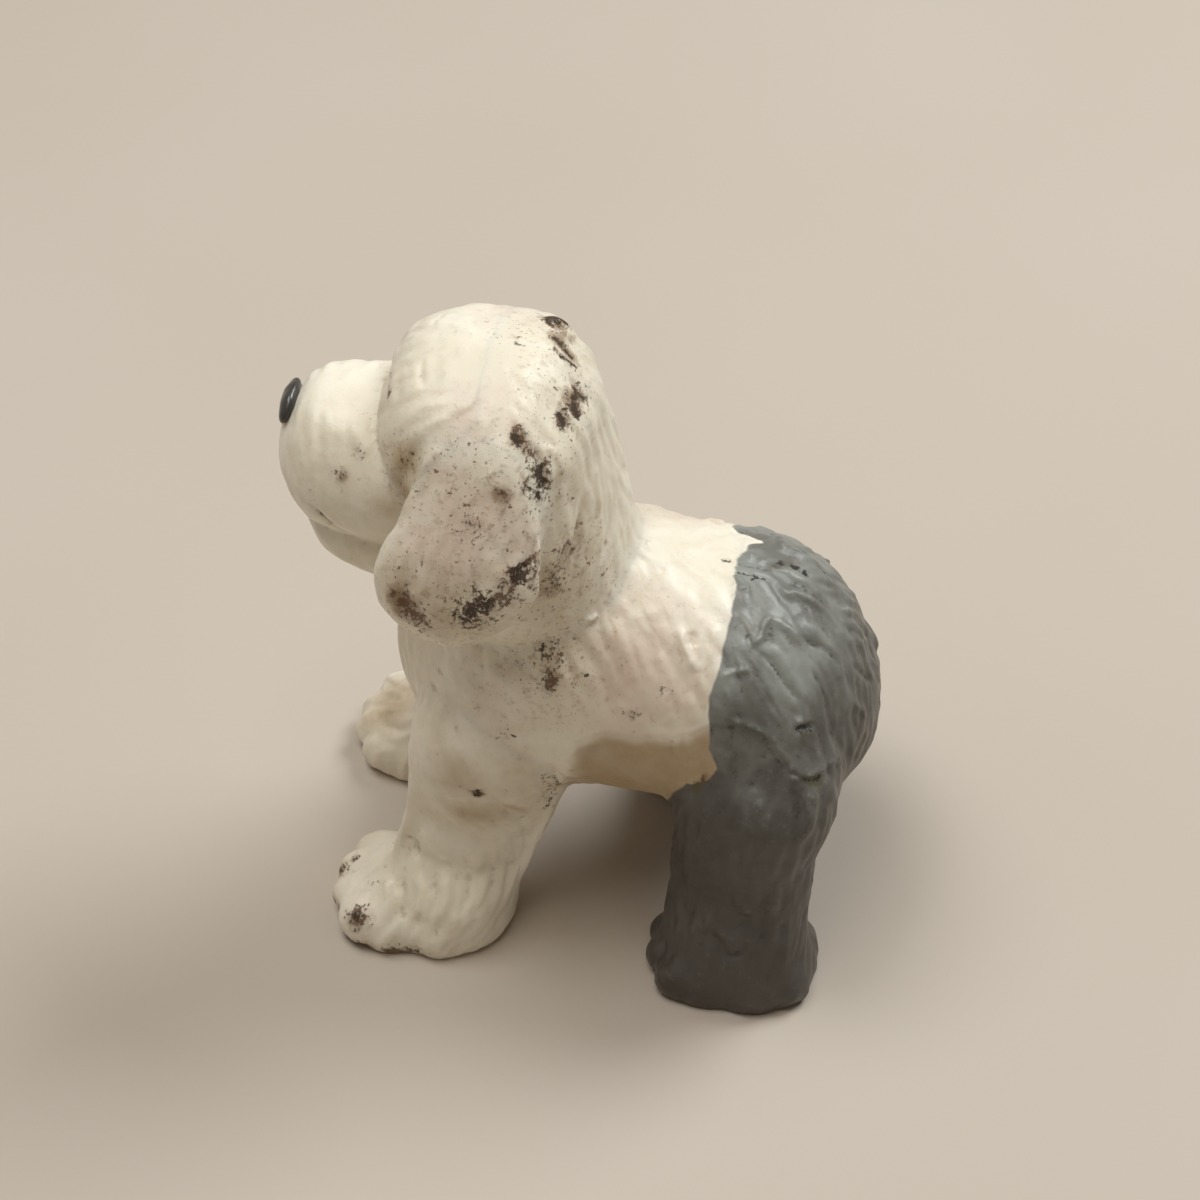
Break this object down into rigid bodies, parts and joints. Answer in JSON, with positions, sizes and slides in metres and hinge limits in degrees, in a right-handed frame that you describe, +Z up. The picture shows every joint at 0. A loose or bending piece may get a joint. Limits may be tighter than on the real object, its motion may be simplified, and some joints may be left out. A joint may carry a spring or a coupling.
{
  "type": "toy dog figurine",
  "caption": "Small moulded long-haired sheepdog puppy that stands on four straight legs, pale in front and grey behind, with hanging ears.",
  "frame": {"origin": "on the ground, under the middle of the figure's bounding box", "axes": "+Z up, -X the way the dog faces, +Y its right side"},
  "size_m": [0.0344, 0.023, 0.0394],
  "materials": {
    "pale_vinyl": "painted cream-white soft vinyl, satin, with brown grime in the hair grooves",
    "grey_vinyl": "painted mid grey soft vinyl, satin with glossy ridges, darker low down",
    "black_gloss": "glossy near-black paint"
  },
  "bodies": {
    "root": {"forebody": "pale_vinyl", "head": "pale_vinyl", "brow_fringe": "pale_vinyl", "muzzle": "pale_vinyl", "lower_jaw": "pale_vinyl", "left_ear": "pale_vinyl", "right_ear": "pale_vinyl", "front_left_leg": "pale_vinyl", "front_right_leg": "pale_vinyl", "hindquarters": "grey_vinyl", "rear_left_leg": "grey_vinyl", "rear_right_leg": "grey_vinyl", "nose": "black_gloss", "left_eye": "black_gloss", "right_eye": "black_gloss"}
  },
  "joints": []
}
